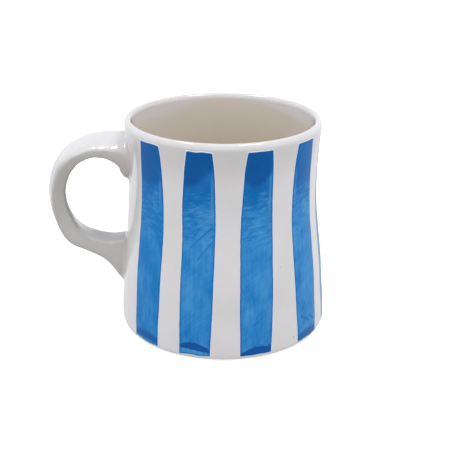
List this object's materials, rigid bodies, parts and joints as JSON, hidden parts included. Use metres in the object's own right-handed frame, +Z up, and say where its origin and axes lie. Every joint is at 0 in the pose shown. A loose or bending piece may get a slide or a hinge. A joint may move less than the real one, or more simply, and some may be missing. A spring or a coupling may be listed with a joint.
{
  "type": "mug",
  "caption": "Waisted ceramic mug with a strap handle, a rolled lip, a recessed foot and brushed vertical stripes.",
  "frame": {"origin": "middle of the bounding box's footprint, on the plane the mug stands on", "axes": "+Z up the cup's axis, -X towards the handle, -Y towards the front"},
  "size_m": [0.1203, 0.089, 0.09],
  "materials": {
    "cream_glaze": "glossy clear glaze over a cream-white body",
    "clay_slip": "matt fired clay",
    "stripe_blue": "brushed blue colour under a clear glaze"
  },
  "bodies": {
    "root": {"cup_body": "cream_glaze", "handle": "cream_glaze", "upper_slip_joint": "clay_slip", "lower_slip_joint": "clay_slip", "painted_stripe_1": "stripe_blue", "painted_stripe_2": "stripe_blue", "painted_stripe_3": "stripe_blue", "painted_stripe_4": "stripe_blue", "painted_stripe_5": "stripe_blue", "painted_stripe_6": "stripe_blue", "painted_stripe_7": "stripe_blue", "painted_stripe_8": "stripe_blue", "painted_stripe_9": "stripe_blue"}
  },
  "joints": []
}
